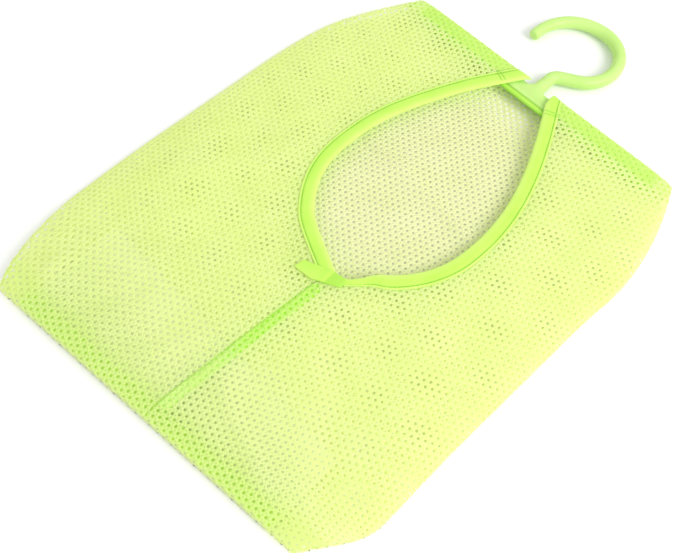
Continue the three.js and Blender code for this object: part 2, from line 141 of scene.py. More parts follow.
# Soft folds as (x, depth) of both ends, width and height
FRONT_FOLDS = (
    ((-70, 150), (-135, 262), 13, 1.5),
    ((-30, 225), (-112, 296), 13, -1.6),
    ((66, 168), (118, 275), 15, 1.6),
    ((34, 228), (98, 300), 12, -1.6),
    ((-120, 62), (-62, 42), 12, 0.9),
    ((84, 70), (124, 150), 14, -1.2),
    ((18, 312), (86, 342), 6, 1.5),
    ((-111, 356), (-117, 322), 7, 1.4),
    ((-60, 300), (-84, 348), 8, -1.3),
    ((-12, 300), (-34, 350), 7, 1.2),
    ((-118, 291), (8, 291), 5, 1.3),
    ((10, 291), (104, 291), 5, 1.3),
)
BACK_FOLDS = (
    ((-62, 118), (66, 128), 5, 1.7),
    ((-60, 196), (-4, 84), 15, 1.0),
    ((18, 210), (60, 110), 13, 0.9),
)
FADE_OUT, FADE_IN = 0.15, 0.25  # shares of its length by which a fold fades past its ends and before them
# Broad waves as height, lengths and phases across and down; finer ones aslant as height and lengths
FRONT_WAVE, FRONT_SLANT = (0.6, 23, 31, 1.3, 0.4), (0.35, 11.5, 17)
BACK_WAVE, BACK_SLANT = (0.3, 13, 19, 0.7, 0), (0.25, 29, 15)
FREE_FROM, HELD_EDGE = 40, 4  # from the seams to where the net is free, and what of it stays as lofted
# The back comes down from the top seam to the bar and to the floor, and lies free but for the sides
SEAM_REACH, SAG_END, NECK_CLEAR = BAR_TOP - 0.8, SLEEVE_DEPTH * 1.6, NECK * 3
BACK_LOOSE, FREE_SHARE = 1.6, 0.8


def fold(x, depth, start, end, width, height):
    """A soft ridge along a line from start to end, fading out at both ends."""
    (xa, da), (xb, db) = start, end
    run = math.hypot(xb - xa, db - da)
    along = ((x - xa) * (xb - xa) + (depth - da) * (db - da)) / run**2
    aside = ((x - xa) * (db - da) - (depth - da) * (xb - xa)) / run
    reach = ease(along, -FADE_OUT, FADE_IN) * ease(along, 1 + FADE_OUT, 1 - FADE_IN)
    return height * reach * np.exp(-((aside / width) ** 2))


def loose(x, depth, level, wave, slant, folds):
    """Heights of net that lies loosely: waves and folds on a level."""
    height, across, down, phase_across, phase_down = wave
    fine, fine_across, fine_down = slant
    broad = height * np.sin(x / across + phase_across) * np.sin(depth / down + phase_down)
    soft = level + broad + fine * np.sin(x / fine_across - depth / fine_down)
    return soft + sum(fold(x, depth, *line) for line in folds)


def front(x, depth):
    """A place on the outer face of the front panels: the loft and what the loose net adds to it."""
    x, depth = np.broadcast_arrays(np.asarray(x, float), np.asarray(depth, float))
    above = ease(depth, SLEEVE_DEPTH, SLEEVE_DEPTH + FREE_FROM)
    below = ease(depth, LENGTH - HELD_EDGE, LENGTH - FREE_FROM)
    share = side_share(x, depth)
    slack = loose(x, depth, 0, FRONT_WAVE, FRONT_SLANT, FRONT_FOLDS) * (above * below) * share
    return placed(x, depth, mix(SIDE_HEIGHT, crest(depth), share) + slack)


def back(x, depth):
    """A place in the middle of the back panel, which lies loosely on the floor."""
    x, depth = np.broadcast_arrays(np.asarray(x, float), np.asarray(depth, float))
    under_bar = HANGER_MID - BAR_THICK / 2 - CLEAR - CLOTH
    at_seam = TOP_SEAM - CLEAR - CLOTH
    to_bar = under_bar * (1 - ease(depth, BAR_TOP + BAR_HEIGHT, SAG_END))
    to_seam = (at_seam - under_bar) * np.clip(1 - depth / SEAM_REACH, 0, 1) ** 2
    rise = (to_bar + to_seam) * ease(np.abs(x), NECK, NECK_CLEAR) * side_share(x, depth) ** 2
    above = ease(depth, SLEEVE_DEPTH, SLEEVE_DEPTH + FREE_FROM)
    below = ease(depth, LENGTH - BASE_DEPTH, LENGTH - 2 * BASE_DEPTH)
    inside = ease(np.abs(x + drift(depth)) / half_width(depth), 1, FREE_SHARE)
    slack = loose(x, depth, BACK_LOOSE, BACK_WAVE, BACK_SLANT, BACK_FOLDS)
    lift = np.maximum(slack, 0) * (above * below) * inside
    return placed(x, depth, CLOTH / 2 + rise + lift)


# The front laid flat: lengths down the crest and across each section, evened out
ROWS, COLUMNS = 241, 161
SAMPLES, CROWDING = 401, 3  # of a section, closer together toward the side
row_depths = np.linspace(0, LENGTH, ROWS)
flat_down = np.concatenate([[0], np.cumsum(np.hypot(np.diff(row_depths), np.diff(crest(row_depths))))])
toward_edge = 1 - (1 - np.linspace(0, 1, SAMPLES)) ** CROWDING
section_x = toward_edge * half_width(row_depths)[:, None]
section_share = side_share(section_x - drift(row_depths)[:, None], row_depths[:, None])
section_z = mix(SIDE_HEIGHT, crest(row_depths)[:, None], section_share)
run_across = np.cumsum(np.hypot(np.diff(section_x), np.diff(section_z)), 1)
run_across = np.concatenate([np.zeros((ROWS, 1)), run_across], 1)
flat_half = run_across[:, -1]
even_x = np.array([
    np.interp(np.linspace(0, run[-1], COLUMNS), run, x) for run, x in zip(run_across, section_x)
])


def unrolled(across, down):
    """(x, depth) of a place on the front laid flat, measured across from the middle of the outline."""
    depth = np.interp(down, flat_down, row_depths)
    row = depth / LENGTH * (ROWS - 1)
    column = np.clip(np.abs(across) / np.interp(depth, row_depths, flat_half), 0, 1) * (COLUMNS - 1)
    i = np.clip(row.astype(int), 0, ROWS - 2)
    j = np.clip(column.astype(int), 0, COLUMNS - 2)
    s, t = row - i, column - j
    upper = mix(even_x[i, j], even_x[i, j + 1], t)
    lower = mix(even_x[i + 1, j], even_x[i + 1, j + 1], t)
    return np.sign(across) * mix(upper, lower, s) - drift(depth), depth


def laid_front(across, down):
    return front(*unrolled(across, down))


def laid_back(across, depth):
    return back(across - drift(depth), depth)


def raised(surface, a, b, height, step=0.5):
    """A place off a surface along its normal; a runs across and b down the bag."""
    across = surface(a + step, b) - surface(a - step, b)
    down = surface(a, b + step) - surface(a, b - step)
    normal = np.cross(down, across)
    normal /= np.maximum(np.linalg.norm(normal, axis=-1, keepdims=True), 1e-9)
    return surface(a, b) + normal * np.asarray(height)[..., None]


def everything(bm):
    return bm.verts[:] + bm.edges[:] + bm.faces[:]


def repeat(bm, step, times):
    """Adds copies of the whole mesh at even steps."""
    bmesh.ops.spin(
        bm, geom=everything(bm), cent=(0, 0, 0), axis=(0, 0, 1), dvec=step,
        angle=0, steps=times, use_merge=False, use_duplicate=True,
    )


def net_cell(strand):
    """One hexagonal hole with half of each strand round it, crowned along the strands' middles."""
    bm = bmesh.new()
    bmesh.ops.create_circle(bm, cap_ends=True, segments=6, radius=1)
    bmesh.ops.scale(bm, vec=(COLUMN_PITCH * 2 / 3, HOLE_PITCH / math.sqrt(3), 1), verts=bm.verts)
    rim = bm.verts[:]
    bmesh.ops.inset_individual(bm, faces=bm.faces[:], thickness=strand / 2, use_even_offset=True)
    hole = [face for face in bm.faces if not set(face.verts) & set(rim)]
    bmesh.ops.delete(bm, geom=hole, context="FACES")
    for vert in rim:
        vert.co.z = YARN / 2
    return bm


def cut_net(start, end, limits, shift=(0, 0), strand=STRAND, turn=0):
    """A closed flat net between two corners, cut to limits(down), which gives its two side edges."""
    bm = net_cell(strand)
    wide, high = end[0] - start[0], end[1] - start[1]
    spare_x, spare_y = high * math.sin(turn) / 2, wide * math.sin(turn) / 2
    bmesh.ops.translate(
        bm, vec=(start[0] - spare_x + shift[0], start[1] - spare_y + shift[1], 0), verts=bm.verts)
    repeat(bm, (COLUMN_PITCH, HOLE_PITCH / 2, 0), 1)
    repeat(bm, (0, HOLE_PITCH, 0), math.ceil((high + 2 * spare_y) / HOLE_PITCH) + 1)
    repeat(bm, (COLUMN_PITCH * 2, 0, 0), math.ceil((wide + 2 * spare_x) / COLUMN_PITCH / 2) + 1)
    middle = ((start[0] + end[0]) / 2, (start[1] + end[1]) / 2, 0)
    bmesh.ops.rotate(bm, cent=middle, matrix=Matrix.Rotation(turn, 3, "Z"), verts=bm.verts)
    places = np.array([vert.co[:] for vert in bm.verts])
    low, high = limits(np.clip(places[:, 1], start[1], end[1]))
    across, down = places[:, 0], places[:, 1]
    outside = (across < low) | (across > high) | (down < start[1]) | (down > end[1])
    for vert, out in zip(bm.verts, outside):
        vert.tag = bool(out)
    spare = [face for face in bm.faces if all(vert.tag for vert in face.verts)]
    for vert, a, b, lowest, highest in zip(bm.verts, across, down, low, high):
        if vert.tag:
            vert.co = (min(max(a, lowest), highest), min(max(b, start[1]), end[1]), 0)
    bmesh.ops.delete(bm, geom=spare, context="FACES")
    bmesh.ops.remove_doubles(bm, verts=bm.verts, dist=WELD)
    bmesh.ops.mirror(bm, geom=everything(bm), matrix=Matrix.Identity(4), merge_dist=MERGE, axis="Z")
    bmesh.ops.dissolve_degenerate(bm, dist=MERGE, edges=bm.edges)
    bmesh.ops.recalc_face_normals(bm, faces=bm.faces)
    for edge in bm.edges:
        edge.smooth = any(vert.co.z for vert in edge.verts)
    return bm


def even_limits(low, high):
    return lambda down: (np.full_like(down, low), np.full_like(down, high))


def filled(name, bm, place, pattern=None):
    """A mesh from a flat one: its points moved by place, its flat places kept as the pattern's map."""
    mesh = bpy.data.meshes.new(name)
    bm.to_mesh(mesh)
    bm.free()
    flat = np.empty(len(mesh.vertices) * 3)
    mesh.vertices.foreach_get("co", flat)
    flat = flat.reshape(-1, 3)
    corners = np.empty(len(mesh.loops), int)
    mesh.loops.foreach_get("vertex_index", corners)
    spots = (flat if pattern is None else pattern(flat))[:, :2]
    low, high = spots.min(0), spots.max(0)
    for layer, spot in (("weave", spots * MM), ("OFBake", (spots - low) / (high - low))):
        uv = mesh.uv_layers.new(name=layer).uv
        uv.foreach_set("vector", spot[corners].ravel().astype(np.float32))
    mesh.vertices.foreach_set("co", (place(flat) * MM).ravel())
    mesh.update()
    return mesh


def show(name, mesh, finish, body, slot, *nodes):
    """A smooth piece that rides on a body and may stand for CAD nodes."""
    mesh.shade_smooth()
    mesh.materials.append(finish)
    piece = bpy.data.objects.new(name, mesh)
    bpy.context.scene.collection.objects.link(piece)
    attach(piece, body)
    if nodes:
        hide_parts(*nodes)
    return piece


def joined(name, meshes):
    bm = bmesh.new()
    for mesh in meshes:
        bm.from_mesh(mesh)
        bpy.data.meshes.remove(mesh)
    whole = bpy.data.meshes.new(name)
    bm.to_mesh(whole)
    bm.free()
    return whole


# Finishes: a colour is given as 0 to 255, a texture's scale as repeats in a metre
# Outside this oval the back panel gets painted light, in the front panels' shade
MOUTH_OVAL, MOUTH_MIDDLE = (62, 108), 118  # half axes and depth of the oval that shows through the mouth
OVAL_FADE = (0.72, 1.2)  # where its edge begins and ends, as squares of the share of the half axes
NET_CLOUDS, NET_FIBRES = 38.0, (2600.0, 900.0, 1.0)
TAPE_CLOUDS, TAPE_RIBS = 60.0, 420.0
THREAD_TWIST = 1800.0
PLASTIC_FLOW, PLASTIC_GRAIN = 45.0, 1400.0
FLOOR_CLOUDS = 3.0
CLOUD_SHARE = 0.75  # of a cloth's tone; its fibres or ribs give the rest


def grey(level):
    return (level, level, level, 1)


BLACK, GREY, WHITE = grey(0), grey(0.5), grey(1)  # stops of masks


def linear(red, green, blue):
    """A colour as the shader takes it."""
    def one(c):
        c /= 255
        return c / 12.92 if c <= 0.04045 else ((c + 0.055) / 1.055) ** 2.4
    return (one(red), one(green), one(blue), 1)


class Shade:
    """A socket in a finish's node tree, with arithmetic."""

    def __init__(self, finish, socket):
        self.finish, self.socket = finish, socket

    def _math(self, operation, *terms):
        return self.finish.node("ShaderNodeMath", {"operation": operation}, dict(enumerate(terms)))

    def __add__(self, other):
        return self._math("ADD", self, other)

    def __sub__(self, other):
        return self._math("SUBTRACT", self, other)

    def __mul__(self, other):
        return self._math("MULTIPLY", self, other)

    def __or__(self, other):
        """The larger of two masks."""
        return self._math("MAXIMUM", self, other)

    def __abs__(self):
        return self._math("ABSOLUTE", self)

    __radd__ = __add__


class Finish:
    """A material whose looks are fed into one Principled shader."""

    def __init__(self, name, **constants):
        self.material = bpy.data.materials.new(name)
        self.material.use_nodes = True
        self.tree = self.material.node_tree
        self.shader = next(n for n in self.tree.nodes if n.type == "BSDF_PRINCIPLED")
        for socket, value in constants.items():
            self.shader.inputs[socket.replace("_", " ")].default_value = value

    def node(self, kind, settings=None, sockets=None, output=0):
        made = self.tree.nodes.new(kind)
        for name, value in (settings or {}).items():
            if name == "stops":
                ramp = made.color_ramp.elements
                while len(ramp) < len(value):
                    ramp.new(1)
                for stop, (where, colour) in zip(ramp, value):
                    stop.position, stop.color = where, colour
            else:
                setattr(made, name, value)
        for name, value in (sockets or {}).items():
            if isinstance(value, Shade):
                self.tree.links.new(value.socket, made.inputs[name])
            else:
                made.inputs[name].default_value = value
        return Shade(self, made.outputs[output])

    def weave(self):
        """Places on the cloth laid flat, in metres."""
        return self.node("ShaderNodeUVMap", {"uv_map": "weave"})

    def place(self):
        """Places in the frame."""
        return self.node("ShaderNodeTexCoord", output="Object")

    def part(self, vector, axis):
        return self.node("ShaderNodeSeparateXYZ", {}, {"Vector": vector}, axis)

    def noise(self, vector, scale, detail=2.0):
        return self.node("ShaderNodeTexNoise", {}, {"Vector": vector, "Scale": scale, "Detail": detail})

    def ramp(self, value, *stops):
        return self.node("ShaderNodeValToRGB", {"stops": stops}, {"Fac": value})

    def tone(self, value, dim, bright, spread=0.2):
        """A colour between two, mostly in the middle of a value's range."""
        return self.ramp(value, (0.5 - spread, linear(*dim)), (0.5 + spread, linear(*bright)))

    def fade(self, value, *stops, unit=MM):
        """A ramp over any range of a value, with its stops given in a unit."""
        first, last = stops[0][0], stops[-1][0]
        share = (value - first * unit) * (1 / ((last - first) * unit))
        return self.ramp(share, *(((at - first) / (last - first), colour) for at, colour in stops))

    def blend(self, share, first, second):
        """A mix of two colours, which have sockets 6 and 7 and output 2 of the node."""
        return self.node("ShaderNodeMix", {"data_type": "RGBA"}, {0: share, 6: first, 7: second}, 2)

    def bump(self, height, strength, distance):
        """A relief with a distance in millimetres."""
        sockets = {"Strength": strength, "Distance": distance * MM, "Height": height}
        return self.node("ShaderNodeBump", {}, sockets)

    def feed(self, **sockets):
        for name, value in sockets.items():
            self.tree.links.new(value.socket, self.shader.inputs[name.replace("_", " ")])
        return self.material


def through_yarn(finish, share, colour):
    """Lets a share of the light pass through the yarn."""
    passing = finish.node("ShaderNodeBsdfTranslucent", {}, {"Color": colour})
    kept = Shade(finish, finish.shader.outputs[0])
    surface = finish.node("ShaderNodeMixShader", {}, {0: share, 1: kept, 2: passing})
    output = next(n for n in finish.tree.nodes if n.type == "OUTPUT_MATERIAL")
    finish.tree.links.new(surface.socket, output.inputs["Surface"])


# Masks over cloth laid flat, with their stops in millimetres
def painted_shade_over_layers(finish, across, down):
    """Where a front panel lies on the bar, on the base seam or on the centre seam: painted shade, the deeper
    green of light that passes the layers beneath.
    """
    sleeve = finish.fade(down, (0, GREY), (4.5, WHITE), (15, WHITE), (18.5, BLACK))
    on_bar = finish.fade(abs(across), (BAR_HALF - 3, WHITE), (BAR_HALF + 2, BLACK))
    base_seam = finish.fade(
        down, (LENGTH - 19, BLACK), (LENGTH - 11, GREY), (LENGTH, GREY), (LENGTH + 6, BLACK))
    top = MOUTH_DEPTH + SEAM_TURN
    at_top, at_foot = (float(seam_line(d) + drift(d)) + SEAM_WIDE / 2 for d in (top, LENGTH))
    lean = (at_foot - at_top) / (flat_down[-1] - top)
    from_seam = abs(across - (down * lean + (at_top - top * lean) * MM))
    on_seam = finish.fade(from_seam, (2.8, WHITE), (4.5, BLACK))
    below = finish.fade(down, (top, BLACK), (top + 6, WHITE), (top + 60, WHITE), (top + 75, GREY))
    return sleeve * on_bar | base_seam | on_seam * below


def painted_fold_highlight(finish, across, down):
    """Along the edge where the base is folded in: a painted highlight that turns the base net white there.
    """
    return finish.fade(abs(down - BASE_DEPTH * MM), (15, WHITE), (45, BLACK))


def lower_end(finish, across, down):
    """The part of the centre seam that lies over the base."""
    folded = LENGTH - BASE_DEPTH
    return finish.fade(down, (folded, BLACK), (folded + 14, WHITE))


def painted_light_under_front(finish, across, down):
    """What the front covers of the back panel, all round an oval a little larger than the mouth: the back
    panel is painted lighter there, painted light in the front panels' shade.
    """
    wide, high = MOUTH_OVAL
    aside = (across - SIDE_DRIFT * MM) * (1 / (wide * MM))
    along = (down - MOUTH_MIDDLE * MM) * (1 / (high * MM))
    inner, outer = OVAL_FADE
    return finish.fade(aside * aside + along * along, (inner, BLACK), (outer, WHITE), unit=1)


def net_finish(name, dim, bright, passing, mask=None, tint=None, most=0.5):
    """Yarn between two colours, tinted where a mask says, which a share of the light passes."""
    finish = Finish(name, Roughness=0.75, Sheen_Weight=0.15, Sheen_Roughness=0.5)
    through_yarn(finish, passing, linear(*bright))
    flat = finish.weave()
    cloud = finish.noise(flat, NET_CLOUDS)
    stretched = finish.node("ShaderNodeMapping", {}, {"Vector": flat, "Scale": NET_FIBRES})
    yarn = finish.noise(stretched, 1.0, 1.0)
    colour = finish.tone(cloud * CLOUD_SHARE + yarn * (1 - CLOUD_SHARE), dim, bright)
    if mask:
        share = mask(finish, finish.part(flat, "X"), finish.part(flat, "Y")) * most
        colour = finish.blend(share, colour, linear(*tint))
    return finish.feed(Base_Color=colour, Normal=finish.bump(yarn, 0.35, 0.1))


def tape_finish():
    """Ribbed tape, pale along its edge and its fold as a painted highlight where it rolls over, dark in the
    stitched groove as painted shade.
    """
    finish = Finish(
        "lime_tape", Roughness=0.62, Sheen_Weight=0.2,
        Subsurface_Weight=0.1, Subsurface_Radius=(0.8, 1.0, 0.3), Subsurface_Scale=0.001,
    )
    flat = finish.weave()
    ribs = finish.node(
        "ShaderNodeTexWave", {"wave_type": "BANDS", "bands_direction": "X"},
        {"Vector": flat, "Scale": TAPE_RIBS, "Distortion": 1.2, "Detail": 1.0, "Detail Scale": 2.0},
    )
    tone = ribs * (1 - CLOUD_SHARE) + finish.noise(flat, TAPE_CLOUDS) * CLOUD_SHARE
    # woven is the tape's own colour; pale is a painted highlight for the rolled edge and fold; dark is
    # painted shade for the groove
    woven, pale, dark = (finish.tone(tone, dim, bright, 0.25) for dim, bright in (
        ((184, 236, 76), (200, 243, 98)),
        ((204, 244, 106), (216, 248, 124)),
        ((132, 198, 40), (152, 212, 56)),
    ))
    from_edge = finish.part(flat, "Y")
    edges = finish.fade(
        from_edge, (0.9, WHITE), (1.3, BLACK), (6, BLACK), (10.4, WHITE), (12, WHITE), (13.2, BLACK))
    groove = finish.fade(from_edge, (1.3, BLACK), (1.7, WHITE), (2.2, WHITE), (2.6, BLACK))
    colour = finish.blend(groove, finish.blend(edges, woven, pale), dark)
    return finish.feed(Base_Color=colour, Normal=finish.bump(ribs, 0.4, 0.12))


def thread_finish(name, dim, bright):
    finish = Finish(name, Roughness=0.55, Sheen_Weight=0.2)
    twist = finish.noise(finish.place(), THREAD_TWIST, 1.0)
    return finish.feed(Base_Color=finish.tone(twist, dim, bright))


def plastic_finish():
    finish = Finish(
        "mint_plastic", Coat_Weight=0.08, Coat_Roughness=0.3,
        Subsurface_Weight=0.3, Subsurface_Radius=(0.6, 1.0, 0.4), Subsurface_Scale=0.004,
    )
    place = finish.place()
    flow = finish.noise(place, PLASTIC_FLOW, 3.0)
    grain = finish.bump(finish.noise(place, PLASTIC_GRAIN), 0.12, 0.1)
    colour = finish.tone(flow, (188, 229, 121), (201, 235, 137))
    return finish.feed(Base_Color=colour, Roughness=0.4 + flow * 0.12, Normal=grain)


# The front net's tint is painted shade, a deeper green over the bar and the seams beneath it
FRONT_NET = net_finish(
    "lime_front_net", (242, 252, 187), (249, 254, 207), 0.58, painted_shade_over_layers, (220, 252, 122), 0.65)
# The base net's pale yarn and its white band along the fold are painted light
BASE_NET = net_finish(
    "lime_base_net", (243, 250, 216), (249, 252, 234), 0.36, painted_fold_highlight, (255, 255, 255), 1.0)
# The back panel's yarn is duller than the front's, and painted light makes it paler where the front covers
# it
PALE_NET = net_finish(
    "pale_lime_net", (236, 240, 179), (243, 245, 197), 0.2, painted_light_under_front, (250, 254, 204), 1.0)
# The hem is the panels' own net; its deeper green is painted shade of light passed through the layers over
# the bar
HEM = net_finish("lime_hem", (222, 248, 130), (235, 252, 155), 0.4)
# The centre seam is the panels' own net; its deeper green is painted shade of light passed through its
# stacked layers, made paler where it lies over the base
SEAM = net_finish("lime_seam", (198, 245, 84), (214, 250, 108), 0.4, lower_end, (242, 252, 180), 0.85)
# The base seam is the panels' own net made paler: painted light against the shade inside the base
BASE_SEAM = net_finish("pale_lime_seam", (232, 250, 158), (241, 253, 180), 0.5)
# The lime thread is darker than the tape: painted shade of the grooves it is sewn in
THREAD = thread_finish("lime_thread", (140, 206, 48), (176, 228, 84))
# The overcast thread, paler than the lime thread, is painted light like the base seam
BASE_THREAD = thread_finish("pale_lime_thread", (222, 246, 142), (234, 250, 166))
TAPE, PLASTIC = tape_finish(), plastic_finish()


# Net panels
HEM_UNDER = 0.75  # middle of the hem below the middle of its panel
HEM_INSET, TOP_TUCK = 4, 3.5  # the hem's cut end and the panels' top corners lie inside the binding
LEAF_STEPS, BEND_STEPS = 40, 12  # along a leaf of the base and round its fold


def back_net():
    def limits(depth):
        edge = half_width(depth)
        return -edge, edge
    flat = cut_net((-BODY_HALF, 0), (BODY_HALF, LENGTH), limits, turn=BACK_TURN)
    return filled("back_net", flat, lambda p: raised(laid_back, p[:, 0], p[:, 1], p[:, 2]))


def panel_limits(side, inset=0):
    """Where a front panel laid flat begins and ends at a distance down it."""
    def limits(down):
        depth = np.interp(down, flat_down, row_depths)
        tucked = inset + TOP_TUCK * ease(depth, TOP_ROUND * 2, 1)
        inner = seam_line(depth) + drift(depth) + side * (mouth_edge(depth) + tucked)
        outer = side * np.interp(depth, row_depths, flat_half)
        return (inner, outer) if side > 0 else (outer, inner)
    return limits


def front_net(side, under=0, bottom=None, strand=STRAND):
    """A front panel, or a strip of it that lies folded under along the top edge."""
    reach = flat_half.max() * side
    start = (min(reach, 0) - MOUTH_LEAN, 0)
    end = (max(reach, 0) + SIDE_DRIFT + MOUTH_LEAN, bottom or flat_down[-1])
    shift_x, shift_y = (0, 0) if side > 0 else LEFT_SHIFT
    limits = panel_limits(side, HEM_INSET if under else 0)
    flat = cut_net(start, end, limits, (shift_x + under * 2, shift_y + under), strand)
    return filled("front_net", flat, lambda p: raised(
        laid_front, p[:, 0], p[:, 1], p[:, 2] - CLOTH / 2 - under))


def base_climb(inward):
    return BASE_RISE * ease(inward, 0, BASE_DEPTH)


def base_path():
    """The tucked base from the front leaf round its fold to the back leaf: run, distance in and height."""
    bend = BASE_GAP / 2
    inward = np.linspace(CLEAR, BASE_DEPTH - bend, LEAF_STEPS)
    climb = base_climb(inward)
    turn = np.linspace(0, math.pi, BEND_STEPS)[1:-1]
    middle = bend + BACK_LEAF + climb[-1]
    reach = np.concatenate([inward, inward[-1] + bend * np.sin(turn), inward[::-1]])
    height = np.concatenate([FRONT_LEAF + climb, middle + bend * np.cos(turn), (BACK_LEAF + climb)[::-1]])
    along = np.concatenate([[0], np.cumsum(np.hypot(np.diff(reach), np.diff(height)))])
    return along, reach, height


def base_net():
    along, reach, height = base_path()

    def surface(across, run):
        depth = LENGTH - np.interp(run, along, reach)
        return placed(across - drift(depth), depth, np.interp(run, along, height))
    limits = even_limits(-BASE_HALF, BASE_HALF)
    flat = cut_net((-BASE_HALF, 0), (BASE_HALF, along[-1]), limits, BASE_SHIFT)
    return filled("base_net", flat, lambda p: raised(surface, p[:, 0], p[:, 1], p[:, 2]))


# Seam allowances are two layers of net pressed together, each with its lift and the shift of its holes
SEAM_LAYERS = ((0.15, (0, 0)), (0.55, (COLUMN_PITCH / 2, HOLE_PITCH / 4)))
SEAM_LAP = 0.4  # of the centre seam's allowance, past its sewn line


def centre_seam_net():
    under = CLOTH + CLEAR
    start = (-SEAM_LAP, MOUTH_DEPTH + TAPE_WIDTH)
    end = (SEAM_WIDE, LENGTH - SEAM_ALLOWANCE - SEAM_OFFSET)
    layers = []
    for lift, shift in SEAM_LAYERS:
        flat = cut_net(start, end, even_limits(start[0], end[0]), shift, SEAM_STRAND)
        layers.append(filled("seam", flat, lambda p: raised(
            front, seam_line(p[:, 1]) + p[:, 0], p[:, 1], p[:, 2] - under - lift)))
    return joined("centre_seam_net", layers)


def base_seam_net(name, level):
    start, end = (-BASE_HALF, SEAM_OFFSET), (BASE_HALF, SEAM_OFFSET + SEAM_ALLOWANCE)
    layers = []
    for lift, shift in SEAM_LAYERS:
        def surface(across, inward):
            depth = LENGTH - inward
            return placed(across - drift(depth), depth, level(inward) + lift)
        flat = cut_net(start, end, even_limits(start[0], end[0]), shift, SEAM_STRAND)
        layers.append(filled("seam", flat, lambda p: raised(surface, p[:, 0], p[:, 1], p[:, 2])))
    return joined(name, layers)


def front_seam_level(inward):
    return FRONT_LEAF + CLOTH / 2 + CLEAR * 1.5 + base_climb(inward)


def back_seam_level(inward):
    return np.full_like(inward, CLOTH + CLEAR)


back_panel = show("back_net", back_net(), PALE_NET, "bag", "net", "back_panel")
front_left = show("front_net_left", front_net(-1), FRONT_NET, "bag", "net", "front_panel_left")
front_right = show("front_net_right", front_net(1), FRONT_NET, "bag", "net", "front_panel_right")
hem_left, hem_right = (
    show(name, front_net(side, HEM_UNDER, BAR_TOP + BAR_HEIGHT, HEM_STRAND), HEM, "bag", "net")
    for name, side in (("hem_net_left", -1), ("hem_net_right", 1))
)
base = show("base_net", base_net(), BASE_NET, "bag", "net", "base_gusset")
centre_seam = show("centre_seam_net", centre_seam_net(), SEAM, "bag", "net", "centre_seam")
front_seam = show(
    "front_base_seam_net", base_seam_net("front_base_seam_net", front_seam_level),
    BASE_SEAM, "bag", "net", "front_base_seam",
)
back_seam = show(
    "back_base_seam_net", base_seam_net("back_base_seam_net", back_seam_level),
    BASE_SEAM, "bag", "net", "back_base_seam",
)


# Binding of the mouth
LEAF = TAPE_WIDTH - CLEAR - TAPE_THICK
# Upper half of the folded tape's section from its stitched edge to the fold: distance out from the cut
# edge, height over the middle of the cloth
TAPE_SECTION = (
    (LEAF, 0.6), (LEAF - 0.5, 0.9), (LEAF - 1.1, 0.85), (LEAF - 1.8, 0.6), (LEAF - 2.4, 0.85),
    (LEAF - 3.3, 1.1), (LEAF - 4.6, 1.25), (LEAF - 6.2, 1.35), (1.6, 1.35), (0.4, 1.2), (-0.5, 0.85),
    (-1.0, 0.4),
)
STITCH_LINE = LEAF - 1.8
section = np.array([*TAPE_SECTION, (-1.1, 0), *[(out, -height) for out, height in reversed(TAPE_SECTION)]])
section_run = np.concatenate([[0], np.cumsum(np.hypot(*np.diff(section, axis=0).T))])
TAPE_START, TAPE_BEYOND = 0.8, TAPE_WIDTH * 0.4  # depth at which the tape begins, its way on past the point
TAPE_LOWEST = MOUTH_DEPTH + TAPE_WIDTH * 0.75  # what would lie lower is folded away under the loose end
TAPE_STEPS = 160
UPPER_STEPS, LOWER_STEPS, BEYOND_STEPS = 160, 60, 12  # of its line: to the lean, the point and beyond
PRESSED, PRESSED_RUN = 0.4, 4  # share of its height at the top seam, and how soon it is whole
NARROW, NARROW_RUN = 0.45, (TAPE_WIDTH * 1.4, TAPE_WIDTH * 3.8)  # the right tape's end, under the loose end
PUCKERS = ((0.12, 83, 0), (0.1, 47, 1))  # height, pace and phase
BINDING_SKIN, TAIL_SKIN, STRAP_SKIN = 0.6, 0.9, 0.8  # thicknesses of the tapes


class Binding:
    """The line along one side of the mouth that its tape follows."""

    def __init__(self, side):
        self.side, self.tip = side, side * MOUTH_LEAN + SEAM_HALF
        slope = MOUTH_POINT * MOUTH_HALF / (MOUTH_DEPTH - MOUTH_WIDEST)
        upper = np.linspace(TAPE_START, LEAN_START, UPPER_STEPS)
        lower = np.linspace(LEAN_START, MOUTH_DEPTH, LOWER_STEPS)[1:]
        depths = np.concatenate([upper, lower])
        beyond = np.linspace(0, TAPE_BEYOND, BEYOND_STEPS)[1:]
        self.x = np.concatenate([side * seam_line(depths) + mouth_edge(depths), self.tip - beyond])
        self.depth = np.concatenate([depths, MOUTH_DEPTH + beyond / slope])
        self.run = np.concatenate([[0], np.cumsum(np.hypot(np.diff(self.x), np.diff(self.depth)))])
        out_x, out_depth = np.gradient(self.depth), -np.gradient(self.x)
        size = np.hypot(out_x, out_depth)
        out_x, out_depth = out_x / size, out_depth / size
        # At the top the tape ends level with the seam, so its section turns level there
        level = ease(self.depth, TOP_ROUND, SLEEVE_DEPTH)
        lean_x, lean_depth = mix(1, out_x, level), mix(0, out_depth, level)
        stretch = 1 / (lean_x * out_x + lean_depth * out_depth)
        self.lean_x, self.lean_depth = lean_x * stretch, lean_depth * stretch

    def at(self, share, out, height):
        """A place by its share of the way along, distance out and height over the middle of the cloth."""
        run = share * self.run[-1]
        height = height * mix(PRESSED, 1, ease(run, 0, PRESSED_RUN))
        if self.side > 0:
            out = out * mix(NARROW, 1, ease(self.run[-1] - run, *NARROW_RUN))
        x, depth, lean_x, lean_depth = (
            np.interp(run, self.run, line) for line in (self.x, self.depth, self.lean_x, self.lean_depth))
        x = np.maximum(x + out * lean_x, self.tip)
        depth = np.minimum(depth + out * lean_depth, TAPE_LOWEST)
        place = raised(front, self.side * x, depth, height - CLOTH / 2)
        place[..., 1] = np.minimum(place[..., 1], TOP_EDGE)
        nearest = HOOK_AXIS + self.side * self.tip
        place[..., 0] = self.side * np.maximum(self.side * place[..., 0], self.side * nearest)
        return place


